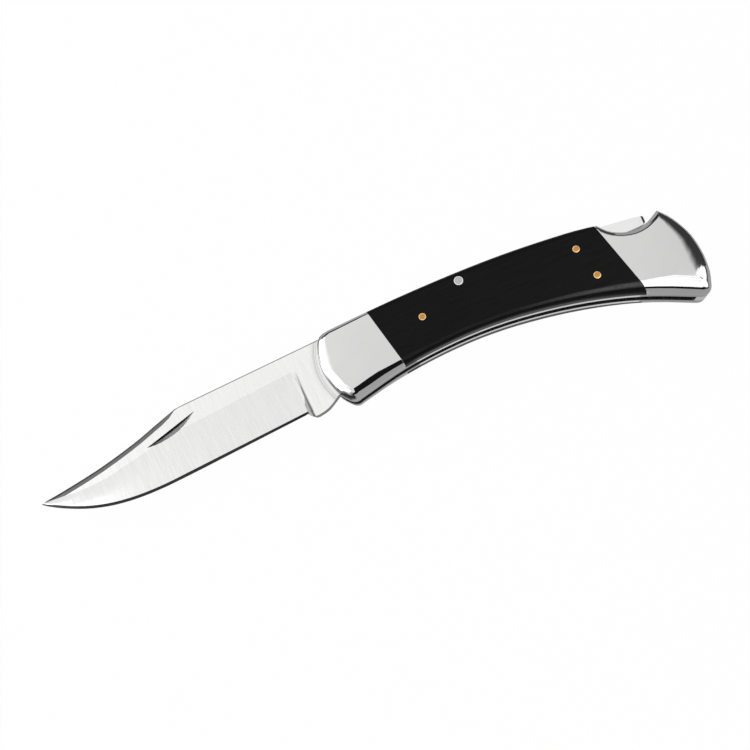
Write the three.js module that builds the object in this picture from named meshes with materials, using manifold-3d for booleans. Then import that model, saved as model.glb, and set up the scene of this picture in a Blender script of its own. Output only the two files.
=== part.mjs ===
// Folding lockback hunting knife, open, lying on its right side.
// Millimetres. The origin is the blade's pivot axis on the lying face.
// +X runs to the butt, +Y to the spine and +Z up through the thickness.
import * as THREE from 'three';
import { mergeVertices } from 'three/addons/utils/BufferGeometryUtils.js';
import Module from 'manifold-3d';

const wasm = await Module();
wasm.setup();

// Layers of the handle, from the outside in
const handleThickness = 14.8;
const slotWidth = 3.4;
const linerThickness = 1.5;
const midPlane = handleThickness / 2;

// Clearances
const runningGap = 0.05;
const jointGap = 0.05;
const sideGap = 0.15;
const sweepGap = 1.7;
const lugGap = 0.15;

// Handle outline, read as places along it: each end keeps its shape and moves with its own end of the handle
const noseX = -8.85;
const buttX = 112.7;
const fromNose = (x, y) => [noseX + x, y];
const fromButt = (x, y) => [buttX - x, y];
const spineLine = [
  fromNose(5.65, 11.75),
  fromNose(10.85, 12.3),
  [22, 14.3],
  [42, 15.6],
  [59, 16],
  fromButt(35.7, 15.5),
  fromButt(26.7, 14.55),
];
const buttPeak = fromButt(7.9, 12.75);
const scoopLine = [
  fromButt(27.5, 15.6),
  fromButt(26, 13.6),
  fromButt(23.5, 11.2),
  fromButt(19.9, 9.6),
  fromButt(16.1, 9.1),
  fromButt(12.2, 10.15),
  buttPeak,
];
const buttLine = [
  buttPeak,
  fromButt(4.85, 9.6),
  fromButt(2.35, 5.2),
  fromButt(0.8, 1),
  fromButt(0, -5),
  fromButt(0.4, -10.8),
  fromButt(1.5, -14.5),
];
const bellyLine = [
  fromButt(5.7, -16.6),
  fromButt(20.7, -10.8),
  fromButt(35.7, -7),
  [62, -4.8],
  [47, -3.95],
  [32, -4.7],
  [16, -7.15],
  fromNose(9.05, -11.5),
];
const frontLine = [
  fromNose(5.2, -10.8),
  fromNose(2.7, -7.8),
  fromNose(0.5, -2),
  fromNose(0, 2),
  fromNose(0.3, 5),
  fromNose(1.2, 8.6),
  fromNose(2.8, 10.9),
  spineLine[0],
];
const buttCorner = fromButt(2.5, -18.1);
const frontCorner = fromNose(6.9, -12.6);

// Rounding of the handle's outer edges: at shares of each run of the outline, how far in and how deep it goes
const spineRounding = [[0, 2.4, 2.4], [0.1, 2, 2], [1, 2, 2]];
const scoopRounding = [[0, 2, 2], [1, 2.4, 2.4]];
const buttRounding = [[0, 2.4, 2.4], [0.2, 4.2, 2.8], [0.5, 5.6, 3.2], [0.75, 6.2, 3.4], [1, 5, 3.6]];
const buttBendRounding = [[0, 5, 3.6], [1, 4.6, 3.7]];
const bellyRounding = [
  [0, 4.6, 3.7],
  [0.08, 4.9, 3.8],
  [0.155, 3.4, 3.4],
  [0.3, 2.4, 2.4],
  [0.47, 1.9, 1.9],
  [0.8, 1.9, 1.9],
  [0.86, 2.3, 2.3],
  [0.92, 3.3, 3.3],
  [1, 3.6, 3.6],
];
const frontBendRounding = [[0, 3.6, 3.6], [1, 3.7, 3.7]];
const frontRounding = [[0, 3.7, 3.7], [0.3, 4.4, 3.3], [0.55, 5.6, 2.9], [0.72, 5.2, 2.7], [0.88, 3.2, 2.5], [1, 2.4, 2.4]];
const roundingSteps = 7;
const roundingEase = 5;

// Bolsters: their length at y = 0, where they meet the scales, and the slant of those joints
const frontBolsterLength = 22.8;
const rearBolsterLength = 23.75;
const frontJointX = noseX + frontBolsterLength;
const rearJointX = buttX - rearBolsterLength;
const jointSlant = -0.29;

// Pins
const pivotPinDiameter = 4;
const bushingDiameter = 6;
const pinCover = 0.6;
const rivetCover = 1.7;
const barPinDiameter = 2.95;
const barPinPlace = [40.1, 12.2];
const scalePinDiameter = 2.35;
const scalePinInset = 11.9;
const scalePinPlaces = {
  front: [frontJointX + scalePinInset, 5.15],
  rear_upper: [rearJointX - scalePinInset, 9.11],
  rear_lower: [rearJointX - 9.09, -0.91],
};
const rivetDiameter = 2.2;
const upperRivetPlace = fromButt(6.5, 4.6);
const lowerRivetPlace = fromButt(3.9, -7.5);
const roundSides = 32;
const pinSides = 24;
const nickWheelSides = 160;

// Blade: its outer part keeps its shape and moves with the tip, which the folded blade holds inside the butt
const bladeThickness = slotWidth - 2 * sideGap;
const tipInset = 7.2;
const tip = [tipInset - buttX, -9];
const fromTip = (x, y) => [tip[0] + x, y];
const spineStart = fromTip(51.9, 6.02);
const clipLine = [
  fromTip(48.5, 5.55),
  fromTip(42.5, 3.3),
  fromTip(33.5, -0.35),
  fromTip(21.5, -4.2),
  fromTip(9.5, -7.1),
  tip,
];
const edgeLine = [
  tip,
  fromTip(3.5, -11.05),
  fromTip(9.5, -13.6),
  fromTip(15.5, -15.5),
  fromTip(22.5, -16.8),
  fromTip(30.5, -17.2),
  fromTip(39.5, -16.7),
  fromTip(51.5, -15.2),
];
const edgeHeel = [-18.2, -10.15];
const choilLine = [
  edgeHeel,
  [-17.6, -9.75],
  [-16.6, -10.9],
  [-15.4, -11.65],
  [-14, -11.7],
  [-10.4, -10.6],
  [-6.4, -7.9],
];
const grindLine = [
  [-10, 3],
  [-18.6, 4.1],
  fromTip(63.9, 0.9),
  fromTip(53.9, -0.5),
  fromTip(39.5, -3.6),
  fromTip(21.5, -8.3),
  fromTip(7.5, -9.2),
  fromTip(-2.5, -7.5),
];
const plungeTop = [-19.05, 4.05];
const plungeSlant = -0.14;
const plungeRun = 2;
const plungeClear = 4;
const plungeShape = [[0, 1], [0.45, 0.93], [0.6, 0.7], [0.85, 0.1], [1, 0]];
const hollowSteps = 6;
const edgeThickness = 0.08;
const edgeBevelWidth = 0.9;
const edgeBevelThickness = 0.6;
const swedgeWidth = 1.2;
const swedgeThickness = 1.9;
const swedgeFade = 3;
const nickDepth = 0.75;
const nickEnds = [fromTip(37, -3.4), fromTip(54.5, 2.85)];
const nickWidth = 2.1;
const nickWheelRim = 1.2;
const bladeClosedAngle = 173;

// Tang and lock
const tangRadius = 8.3;
const notchX = 1.65;
const floorGap = 0.3;
const lugLength = 2.9;
const barThickness = slotWidth - 2 * sideGap;
const barEnd = fromButt(10.8, 13.95);
const barRearLine = [
  fromButt(35.7, 15.5),
  fromButt(28.7, 15.25),
  fromButt(22.7, 15.02),
  fromButt(14.7, 14.5),
  barEnd,
];
const barLockAngle = 1.35;
const barUnderside = [
  fromButt(10.3, 13.4),
  fromButt(10.8, 12.1),
  fromButt(12.4, 11.1),
  fromButt(16.7, 10.75),
  fromButt(28.1, 10.75),
  fromButt(28.7, 10.2),
  fromButt(30.3, 10.2),
  fromButt(30.9, 10.75),
  [62, 10.7],
  [50, 10.1],
  [45, 9.2],
  [42, 9],
  [21.6, 9],
  [18.8, 10.7],
  [8.8, 10.6],
];

// Spring and butt block
const springThickness = 1.1;
const springWidth = slotWidth - 2 * sideGap;
const springTip = fromButt(30.1, 9.55);
const springBend = fromButt(15.7, 7.4);
const springHinge = fromButt(9.9, 6.75);
const springRoot = fromButt(7.3, 6.6);
const springPocketGap = 0.3;
const barEndGap = 1.4;
const blockFrontX = buttX - 13.2;
const blockTop = 9.1;
const blockBottom = 2.6;

// Materials
const material = (color, roughness, metalness) => new THREE.MeshStandardMaterial({ color, roughness, metalness });
const polishedSteel = material('#d8d8d6', 0.12, 1);
const satinSteel = material('#e4e4e2', 0.3, 1);
const darkSteel = material('#8f9092', 0.35, 1);
const brass = material('#d79a3a', 0.25, 1);
const bronze = material('#b07a3c', 0.35, 1);
const blackWood = material('#17171a', 0.45, 0);

// Helpers for outlines
const point = ([x, y]) => new THREE.Vector2(x, y);
const smooth = (places, count) => new THREE.SplineCurve(places.map(point)).getSpacedPoints(count);
const corner = (start, bend, end, count) => new THREE.QuadraticBezierCurve(start, bend, end).getPoints(count);
const polar = (radius, degrees) => {
  const angle = THREE.MathUtils.degToRad(degrees);
  return new THREE.Vector2(radius * Math.cos(angle), radius * Math.sin(angle));
};
const arc = (radius, fromDegrees, toDegrees, count) => Array.from(
  { length: count + 1 },
  (_, i) => polar(radius, fromDegrees + ((toDegrees - fromDegrees) * i) / count),
);
const heightAt = (line, x) => {
  for (let i = 1; i < line.length; i += 1) {
    const [a, b] = [line[i - 1], line[i]];
    if ((a.x - x) * (b.x - x) <= 0 && a.x !== b.x) {
      return a.y + ((b.y - a.y) * (x - a.x)) / (b.x - a.x);
    }
  }
  return (x - line[0].x) * (line.at(-1).x - line[0].x) < 0 ? line[0].y : line.at(-1).y;
};
const withoutRepeats = (points) => points.filter((p, i) => p.distanceTo(points.at(i - 1)) > 1e-3);

// Helpers for solids
function toSolid(geometry) {
  const bare = geometry.clone();
  bare.deleteAttribute('normal');
  bare.deleteAttribute('uv');
  const merged = mergeVertices(bare, 1e-5);
  return new wasm.Manifold(new wasm.Mesh({
    numProp: 3,
    vertProperties: new Float32Array(merged.attributes.position.array),
    triVerts: new Uint32Array(merged.index.array),
  }));
}

function toGeometry(solid) {
  const mesh = solid.getMesh();
  const geometry = new THREE.BufferGeometry();
  geometry.setAttribute('position', new THREE.BufferAttribute(new Float32Array(mesh.vertProperties), 3));
  geometry.setIndex(new THREE.BufferAttribute(new Uint32Array(mesh.triVerts), 1));
  geometry.computeVertexNormals();
  return geometry;
}

function plate(points, bottom, top) {
  const geometry = new THREE.ExtrudeGeometry(new THREE.Shape(points), { depth: top - bottom, bevelEnabled: false });
  return toSolid(geometry.translate(0, 0, bottom));
}

function rod([x, y], diameter, bottom, top, sides = pinSides) {
  const geometry = new THREE.CylinderGeometry(diameter / 2, diameter / 2, top - bottom, sides);
  return toSolid(geometry.rotateX(Math.PI / 2).translate(x, y, (bottom + top) / 2));
}

// A closed skin through rings of points, each ring with the same count and its own flat coordinates
function loft(rings) {
  const count = rings[0].length;
  const flip = ([a, b, c]) => [a, c, b];
  const outline = rings[0].map((p) => p.flat);
  const sides = [];
  for (let r = 1; r < rings.length; r += 1) {
    for (let i = 0; i < count; i += 1) {
      const [a, b] = [(r - 1) * count + i, (r - 1) * count + ((i + 1) % count)];
      sides.push([a, b, b + count], [a, b + count, a + count]);
    }
  }
  const firstCap = THREE.ShapeUtils.triangulateShape(outline, []).map(flip);
  const lastCap = THREE.ShapeUtils.triangulateShape(rings.at(-1).map((p) => p.flat), [])
    .map((face) => face.map((i) => i + (rings.length - 1) * count));
  const faces = [...(THREE.ShapeUtils.isClockWise(outline) ? sides.map(flip) : sides), ...firstCap, ...lastCap];
  const points = rings.flat();
  const volume = faces.reduce((sum, [a, b, c]) => sum + points[a].dot(points[b].clone().cross(points[c])), 0);
  const geometry = new THREE.BufferGeometry();
  const positions = new Float32Array(points.flatMap((p) => [p.x, p.y, p.z]));
  geometry.setAttribute('position', new THREE.BufferAttribute(positions, 3));
  geometry.setIndex((volume < 0 ? faces.map(flip) : faces).flat());
  return toSolid(geometry);
}

const ringPoint = (x, y, z, flatX, flatY) => Object.assign(
  new THREE.Vector3(x, y, z),
  { flat: new THREE.Vector2(flatX, flatY) },
);
const slid = (ring, shift) => ring.map((p) => ringPoint(p.x + shift(p), p.y, p.z, p.flat.x, p.flat.y));

// Handle outline
const outlineSteps = { spine: 26, scoop: 14, butt: 16, belly: 26, front: 16 };
const spine = smooth(spineLine, outlineSteps.spine);
const scoop = smooth(scoopLine, outlineSteps.scoop);
const butt = smooth(buttLine, outlineSteps.butt);
const belly = smooth(bellyLine, outlineSteps.belly);
const front = smooth(frontLine, outlineSteps.front);
const buttBend = corner(butt.at(-1), point(buttCorner), belly[0], 8);
const frontBend = corner(belly.at(-1), point(frontCorner), front[0], 6);
const spineInView = spine.filter((p) => p.x < scoop[0].x);
const scoopInView = scoop.filter((p) => p.y < heightAt(spine, p.x));
const handleOutline = withoutRepeats([
  ...spineInView,
  ...scoopInView,
  ...butt,
  ...buttBend,
  ...belly,
  ...frontBend,
  ...front,
]).reverse();

// Points of one run of the outline, each with the reach and depth of its rounding
const withRounding = (points, stations) => points.map((p, i) => {
  const share = i / (points.length - 1);
  const next = Math.max(1, stations.findIndex(([at]) => at >= share));
  const [a, b] = [stations[next - 1], stations[next]];
  const blend = (share - a[0]) / (b[0] - a[0]);
  return { p, reach: THREE.MathUtils.lerp(a[1], b[1], blend), depth: THREE.MathUtils.lerp(a[2], b[2], blend) };
});

// What rounding takes off the outer edge along joined runs of the outline, carried on past both ends.
// Each ring looks inward square to a chord, not to the outline itself, so that rings don't cross inside a corner.
function roundingCutter(runs, side) {
  const overrun = 7;
  const clear = 4;
  const inside = runs
    .flatMap(([points, stations]) => withRounding(points, stations))
    .filter(({ p }, i, all) => i === 0 || p.distanceTo(all[i - 1].p) > 1e-3);
  const carriedOn = (end, next) => ({ ...end, p: end.p.clone().sub(next.p).setLength(overrun).add(end.p) });
  const run = [carriedOn(inside[0], inside[1]), ...inside, carriedOn(inside.at(-1), inside.at(-2))];
  const path = new THREE.Path(run.map(({ p }) => p));
  const lengths = [0, ...path.getCurveLengths()];
  const pointAt = (length) => path.getPoint(THREE.MathUtils.clamp(length / lengths.at(-1), 0, 1));
  const rings = run.map(({ p, reach, depth }, i) => {
    const before = pointAt(lengths[i] - roundingEase);
    const after = pointAt(lengths[i] + roundingEase);
    const along = after.clone().sub(before).normalize();
    const inward = new THREE.Vector2(along.y, -along.x);
    const profile = [[-clear, midPlane - depth]];
    for (let step = 0; step <= roundingSteps; step += 1) {
      const turn = (step / roundingSteps) * (Math.PI / 2);
      profile.push([reach * (1 - Math.cos(turn)), midPlane - depth * (1 - Math.sin(turn))]);
    }
    profile.push([reach, midPlane + clear], [-clear, midPlane + clear]);
    return profile.map(([inset, height]) => {
      const place = inward.clone().multiplyScalar(inset).add(p);
      return ringPoint(place.x, place.y, midPlane + side * height, inset, height);
    });
  });
  return loft(rings);
}

// One side of the handle outside its liner, as ground flush after assembly
function handleSide(side) {
  const inner = midPlane + side * (slotWidth / 2 + linerThickness);
  const outer = midPlane + side * midPlane;
  const blank = plate(handleOutline, Math.min(inner, outer), Math.max(inner, outer));
  const fromPeakToScoop = [
    [butt, buttRounding],
    [buttBend, buttBendRounding],
    [belly, bellyRounding],
    [frontBend, frontBendRounding],
    [front, frontRounding],
    [spine, spineRounding],
  ];
  return blank
    .subtract(roundingCutter(fromPeakToScoop, side))
    .subtract(roundingCutter([[scoop, scoopRounding]], side));
}

// The stretch of the handle between two slanted joints
function stretch(fromX, toX) {
  const reach = 40;
  const at = (x, y) => new THREE.Vector2(x + jointSlant * y, y);
  return plate([at(fromX, -reach), at(toX, -reach), at(toX, reach), at(fromX, reach)], -1, handleThickness + 1);
}

const farAway = 200;
const frontStretch = stretch(-farAway, frontJointX - jointGap / 2);
const scaleStretch = stretch(frontJointX + jointGap / 2, rearJointX - jointGap / 2);
const rearStretch = stretch(rearJointX + jointGap / 2, farAway);

const group = new THREE.Group();
const add = (name, solid, look) => {
  const mesh = new THREE.Mesh(toGeometry(solid), look);
  mesh.name = name;
  group.add(mesh);
};

const boreFor = (place, diameter, sides) => rod(place, diameter + 2 * runningGap, -1, handleThickness + 1, sides);
const hiddenPin = (place, diameter, cover, sides) => rod(place, diameter, cover, handleThickness - cover, sides);
const blindBoreFor = (place, diameter, cover, sides) => rod(
  place,
  diameter + 2 * runningGap,
  cover - runningGap,
  handleThickness - cover + runningGap,
  sides,
);

// Handle: liners, bolsters and scales, mirrored about the mid-plane
for (const [label, side] of [['right', -1], ['left', 1]]) {
  const whole = handleSide(side);
  const linerInner = midPlane + side * (slotWidth / 2);
  const linerOuter = midPlane + side * (slotWidth / 2 + linerThickness);
  const bores = [
    boreFor([0, 0], pivotPinDiameter, roundSides),
    boreFor(barPinPlace, barPinDiameter),
    boreFor(upperRivetPlace, rivetDiameter),
    boreFor(lowerRivetPlace, rivetDiameter),
    ...Object.values(scalePinPlaces).map((place) => boreFor(place, scalePinDiameter)),
  ];
  const liner = bores.reduce(
    (solid, bore) => solid.subtract(bore),
    plate(handleOutline, Math.min(linerInner, linerOuter), Math.max(linerInner, linerOuter)),
  );
  add(`liner_${label}`, liner, satinSteel);

  const frontBolster = whole
    .intersect(frontStretch)
    .subtract(blindBoreFor([0, 0], pivotPinDiameter, pinCover, roundSides));
  add(`front_bolster_${label}`, frontBolster, polishedSteel);

  const rearBolster = whole
    .intersect(rearStretch)
    .subtract(blindBoreFor(upperRivetPlace, rivetDiameter, rivetCover))
    .subtract(blindBoreFor(lowerRivetPlace, rivetDiameter, rivetCover));
  add(`rear_bolster_${label}`, rearBolster, polishedSteel);

  const scale = [barPinPlace, ...Object.values(scalePinPlaces)].reduce(
    (solid, place) => solid.subtract(boreFor(place, place === barPinPlace ? barPinDiameter : scalePinDiameter)),
    whole.intersect(scaleStretch),
  );
  add(`scale_${label}`, scale, blackWood);

  const faceLevel = midPlane + side * midPlane;
  for (const [position, place] of Object.entries(scalePinPlaces)) {
    const pin = rod(place, scalePinDiameter, Math.min(linerInner, faceLevel), Math.max(linerInner, faceLevel));
    add(`scale_pin_${position}_${label}`, pin, brass);
  }
}

// Pins through the handle; the polished bolsters hide the ends of the pivot pin and rivets
add('blade_pivot_pin', hiddenPin([0, 0], pivotPinDiameter, pinCover, roundSides), darkSteel);
add('lock_bar_pin', rod(barPinPlace, barPinDiameter, 0, handleThickness), satinSteel);
add('butt_rivet_upper', hiddenPin(upperRivetPlace, rivetDiameter, rivetCover), darkSteel);
add('butt_rivet_lower', hiddenPin(lowerRivetPlace, rivetDiameter, rivetCover), darkSteel);

const between = (width) => [midPlane - width / 2, midPlane + width / 2];
const bushing = rod([0, 0], bushingDiameter, ...between(slotWidth - 2 * runningGap), roundSides)
  .subtract(boreFor([0, 0], pivotPinDiameter, roundSides));
add('pivot_bushing', bushing, bronze);

// Blade outline: spine, clip, edge, choil, kick, then the round of the tang up to the lock notch
const clip = smooth(clipLine, 18);
const edge = [...smooth(edgeLine, 22), point(edgeHeel)];
const choil = smooth(choilLine, 14);
const lugX = notchX + lugGap;
const lugRadius = tangRadius + lugGap;
const lugDrop = (barPinPlace[0] - lugX) * Math.sin(THREE.MathUtils.degToRad(barLockAngle));
const tangFloor = lugRadius - lugDrop - floorGap;
const lugStartAngle = THREE.MathUtils.radToDeg(Math.acos(notchX / tangRadius));
const lugSpan = THREE.MathUtils.radToDeg(lugLength / tangRadius);
const notchSlack = 10;
const restNotchEnd = lugStartAngle - lugSpan - notchSlack;
const foldedNotchStart = lugStartAngle - bladeClosedAngle + notchSlack / 3;
const foldedNotchEnd = foldedNotchStart - lugSpan - 1.4 * notchSlack;
const tangTop = new THREE.Vector2(notchX, heightAt(spine, notchX));
const tangRound = arc(tangRadius, foldedNotchStart - 12, restNotchEnd, 24);
const bladeOutline = withoutRepeats([
  tangTop,
  point(spineStart),
  ...clip,
  ...edge,
  ...choil,
  ...tangRound,
  polar(tangFloor, restNotchEnd - 2),
  polar(tangFloor, lugStartAngle - 8),
  new THREE.Vector2(notchX - 0.15, tangFloor),
]);

// The ground hollow of one side, as the material that the wheel takes away; depth 1 is full, 0 none
const past = 2;
function grindCutter(side) {
  const half = bladeThickness / 2;
  const grind = smooth(grindLine, 40);
  const narrowest = 1.2;
  const hollowPower = 1.6;
  const section = (place, depth) => {
    const top = Math.max(heightAt(grind, place.x), place.y + narrowest);
    const rise = top - place.y;
    const bevel = Math.min(edgeBevelWidth, 0.35 * rise);
    const profile = [[place.y - past, edgeThickness / 2], [place.y, edgeThickness / 2]];
    for (let step = 0; step <= hollowSteps; step += 1) {
      const share = step / hollowSteps;
      const lift = (half - edgeBevelThickness / 2) * share ** hollowPower;
      profile.push([place.y + bevel + (rise - bevel) * share, edgeBevelThickness / 2 + lift]);
    }
    profile.push([top, half + past], [place.y - past, half + past]);
    return profile.map(([y, z]) => {
      const level = z > half ? z : half - (half - z) * depth;
      return ringPoint(place.x, y, midPlane + side * level, y, level);
    });
  };
  const stations = edge.filter((p) => p.x < plungeTop[0] - plungeClear).map((p) => section(p, 1));
  const heel = new THREE.Vector2(plungeTop[0], edgeHeel[1]);
  const plunge = plungeShape.map(([share, depth]) => slid(
    section(heel, depth),
    (p) => plungeSlant * (p.y - plungeTop[1]) + share * plungeRun,
  ));
  return loft([slid(stations[0], () => -past), ...stations, ...plunge]);
}

// The narrow false edge along the clip, which grows over its first few stations
function swedgeCutter(side) {
  const half = bladeThickness / 2;
  const skim = 0.02;
  const sections = [point(spineStart), ...clip].map((place, i) => {
    const share = Math.min(1, i / swedgeFade);
    const width = Math.max(skim, swedgeWidth * share);
    const edgeLevel = THREE.MathUtils.lerp(half + skim / 2, swedgeThickness / 2, share);
    return [
      [place.y + past, edgeLevel],
      [place.y, edgeLevel],
      [place.y - width, half + skim],
      [place.y - width, half + past],
      [place.y + past, half + past],
    ].map(([y, level]) => ringPoint(place.x, y, midPlane + side * level, y, level));
  });
  return loft([...sections, slid(sections.at(-1), () => -past)]);
}

// The nail nick, cut by the bevelled rim of a thin wheel
function nickCutter() {
  const [low, high] = nickEnds.map(point);
  const chord = low.distanceTo(high);
  const wheelRadius = chord ** 2 / (8 * nickDepth) + nickDepth / 2;
  const wheelWidth = (nickWheelRim * nickWidth) / nickDepth;
  const wheel = new THREE.CylinderGeometry(wheelRadius, wheelRadius - nickWheelRim, wheelWidth, nickWheelSides, 1);
  const angle = Math.atan2(high.y - low.y, high.x - low.x);
  const middle = low.clone().lerp(high, 0.5);
  const bladeFace = midPlane + bladeThickness / 2;
  wheel.translate(0, -wheelWidth / 2, 0);
  wheel.rotateZ(angle);
  wheel.translate(middle.x, middle.y, bladeFace + wheelRadius - nickDepth);
  return toSolid(wheel);
}

const blade = [grindCutter(1), grindCutter(-1), swedgeCutter(1), swedgeCutter(-1), nickCutter()].reduce(
  (solid, cutter) => solid.subtract(cutter),
  plate(bladeOutline, ...between(bladeThickness))
    .subtract(boreFor([0, 0], bushingDiameter, roundSides))
    .subtract(plate(
      [
        ...arc(tangRadius + 4, foldedNotchEnd, foldedNotchStart, 8),
        ...arc(tangFloor, foldedNotchStart, foldedNotchEnd, 8),
      ],
      0,
      handleThickness,
    )),
);
add('blade', blade, satinSteel);

// Lock bar: a rocker whose lug rides on the tang and drops into its notch
const lugFrontAngle = THREE.MathUtils.radToDeg(Math.acos(lugX / lugRadius));
const barTop = [
  new THREE.Vector2(lugX, heightAt(spine, lugX)),
  ...spine.filter((p) => p.x > lugX + 1 && p.x < barRearLine[0][0] - 1),
  ...smooth(barRearLine, 8),
];
const barOutline = withoutRepeats([
  ...barTop,
  ...barUnderside.map(point),
  polar(lugRadius + 1.2, lugFrontAngle - lugSpan - 1),
  ...arc(lugRadius, lugFrontAngle - lugSpan, lugFrontAngle, 5),
]).reverse();
const lockBar = plate(barOutline, ...between(barThickness)).subtract(boreFor(barPinPlace, barPinDiameter));
add('lock_bar', lockBar, satinSteel);

// Leaf spring under the bar's rear arm, rooted in a pocket of the butt block
const springLine = smooth([springTip, springBend, springHinge, springRoot], 14);
const leaf = (thickness) => {
  const normals = springLine.map((p, i) => {
    const before = springLine[Math.max(i - 1, 0)];
    const after = springLine[Math.min(i + 1, springLine.length - 1)];
    const along = after.clone().sub(before).normalize();
    return new THREE.Vector2(-along.y, along.x).multiplyScalar(thickness / 2);
  });
  return [
    ...springLine.map((p, i) => p.clone().sub(normals[i])),
    ...springLine.map((p, i) => p.clone().add(normals[i])).reverse(),
  ];
};
add('lock_spring', plate(leaf(springThickness), ...between(springWidth)), darkSteel);

// Butt block between the liners: it closes the butt behind the folded blade's tip
const tipReach = point(tip).length() + sweepGap;
const blockStop = Math.asin(Math.min(1, -bellyLine[0][1] / tipReach));
const insideButt = [
  new THREE.Vector2(blockFrontX, blockBottom),
  ...arc(tipReach, -1.2, -THREE.MathUtils.radToDeg(blockStop) - 3, 8),
];
const blockOutline = [
  ...insideButt,
  new THREE.Vector2(buttX + 5, insideButt.at(-1).y),
  new THREE.Vector2(buttX + 5, buttPeak[1] + 5),
  new THREE.Vector2(barEnd[0] + barEndGap, buttPeak[1] + 5),
  new THREE.Vector2(barEnd[0] + barEndGap, blockTop),
  new THREE.Vector2(blockFrontX, blockTop),
];
const pocketFloor = springRoot[0] + springPocketGap;
const pocket = plate(leaf(springThickness + 2 * springPocketGap), 0, handleThickness).add(
  plate(
    [
      new THREE.Vector2(springRoot[0] - 0.5, springRoot[1] - springThickness / 2 - springPocketGap),
      new THREE.Vector2(pocketFloor, springRoot[1] - springThickness / 2 - springPocketGap),
      new THREE.Vector2(pocketFloor, springRoot[1] + springThickness / 2 + springPocketGap),
      new THREE.Vector2(springRoot[0] - 0.5, springRoot[1] + springThickness / 2 + springPocketGap),
    ],
    0,
    handleThickness,
  ),
);
const buttBlock = plate(blockOutline, ...between(slotWidth))
  .intersect(plate(handleOutline, ...between(slotWidth)))
  .subtract(pocket)
  .subtract(boreFor(upperRivetPlace, rivetDiameter))
  .subtract(boreFor(lowerRivetPlace, rivetDiameter));
add('butt_block', buttBlock, satinSteel);

export default group;
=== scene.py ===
"""Looks of a folding lockback hunting knife, open and lying on its right side."""

import math

import bpy
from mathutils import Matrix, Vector


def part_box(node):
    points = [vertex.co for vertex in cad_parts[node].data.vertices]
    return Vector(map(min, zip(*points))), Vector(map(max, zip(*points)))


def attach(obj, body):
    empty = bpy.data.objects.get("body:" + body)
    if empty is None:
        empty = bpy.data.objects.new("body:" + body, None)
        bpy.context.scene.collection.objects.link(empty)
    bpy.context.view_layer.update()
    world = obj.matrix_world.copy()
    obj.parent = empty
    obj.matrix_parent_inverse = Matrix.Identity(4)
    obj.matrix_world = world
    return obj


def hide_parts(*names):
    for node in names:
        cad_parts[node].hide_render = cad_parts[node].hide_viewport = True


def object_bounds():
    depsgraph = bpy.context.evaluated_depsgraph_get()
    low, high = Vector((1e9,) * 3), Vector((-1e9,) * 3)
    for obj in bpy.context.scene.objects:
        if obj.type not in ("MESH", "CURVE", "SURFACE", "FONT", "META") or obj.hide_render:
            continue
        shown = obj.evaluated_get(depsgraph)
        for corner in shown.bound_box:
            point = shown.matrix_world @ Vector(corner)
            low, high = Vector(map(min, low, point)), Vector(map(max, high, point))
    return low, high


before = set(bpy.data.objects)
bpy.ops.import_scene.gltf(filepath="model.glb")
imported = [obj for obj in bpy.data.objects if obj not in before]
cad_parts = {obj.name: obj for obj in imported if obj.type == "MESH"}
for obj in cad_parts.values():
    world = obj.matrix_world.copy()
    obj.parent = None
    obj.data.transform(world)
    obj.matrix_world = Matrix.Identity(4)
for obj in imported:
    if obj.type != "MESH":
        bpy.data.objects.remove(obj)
cad_low, cad_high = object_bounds()

# Lengths are in metres
MM = 0.001

# Camera, measured against the photograph: its turns in degrees and its lens in millimetres
CAMERA_PLACE = (0.01184, -0.07721, 0.27790)
CAMERA_TURNS = (13.706, 5.978, -18.611)
CAMERA_LENS = 43.2
SENSOR_WIDTH = 36

# Studio: floor, background light and one lamp, in watts
FLOOR_SIZE = 6
FLOOR_WHITE = (0.92, 0.92, 0.92)
FLOOR_ROUGHNESS = 0.9
FLOOR_GLOW = 0.985
AMBIENT = 0.55
BACKGROUND = 1.0
SOFTBOX_PLACE = (-0.80, 0.14, 0.40)
SOFTBOX_SIZE = (1.2, 0.9)
SOFTBOX_WATTS = 6.1
# Height of the grey sheets on the table, which carry the knife's painted shadow in reflections
SHEET_HEIGHT = 0.5 * MM

# How bright the cards are, which only reflections see
BLACK_FELT = 0.01
DARK_CARD = 0.06
GREY_CARD = 0.5
WHITE_CARD = 1.7

# Ring of cards around the butt, which draws the white and black bands on the rear bolster
RING_CENTRE = (0.1, -0.012)
RING_RADIUS = 0.075
RING_FROM = -125
RING_TO = 11
RING_CARDS = 14
RING_LEVELS_BELLY = (0.037, 0.0675)
RING_LEVELS_BUTT = (0.016, 0.027)
RING_TURN = (-90, -30)
RING_TOPS = (0.26, 0.5)
RING_RISE = (-70, 0)
RING_FADE = 0.12
RING_END_LEAN = 10.5
RING_END_SIZE = (0.03, 0.5)

# Triangles of the CAD meshes, merged into whole faces
WELD = 0.001 * MM
FLAT_ANGLE = math.radians(0.3)

# Edges, broken by a stone after grinding, but for those that lie against a liner
BROKEN_EDGE = 0.07 * MM
CRISP_ANGLE = math.radians(38)
SEAM = 3.3 * MM
SMOOTH_ANGLE = math.radians(32)
BLADE_SMOOTH_ANGLE = math.radians(6)

# Faces: level past this share of the normal, and walls past this slope in degrees
LEVEL = 0.995
WALL_TILT = 60

# Blade: its places, the nail nick's line, and what is eased or set off after grinding
MID_PLANE = (cad_low.z + cad_high.z) / 2
TIP_X = cad_low.x
PLUNGE_X = -0.0186
NICK_END = (-0.0685, -0.0034)
NICK_SLOPE = 0.357
NICK_RUN = (-0.0695, -0.0495)
NICK_CLEAR = 1.8 * MM
NICK_TOP = 1.53 * MM
SWEDGE_RUN = (-0.1, -0.0575)
SWEDGE_EASED = 0.6 * MM
SPINE_LINE = 0.28 * MM

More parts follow.
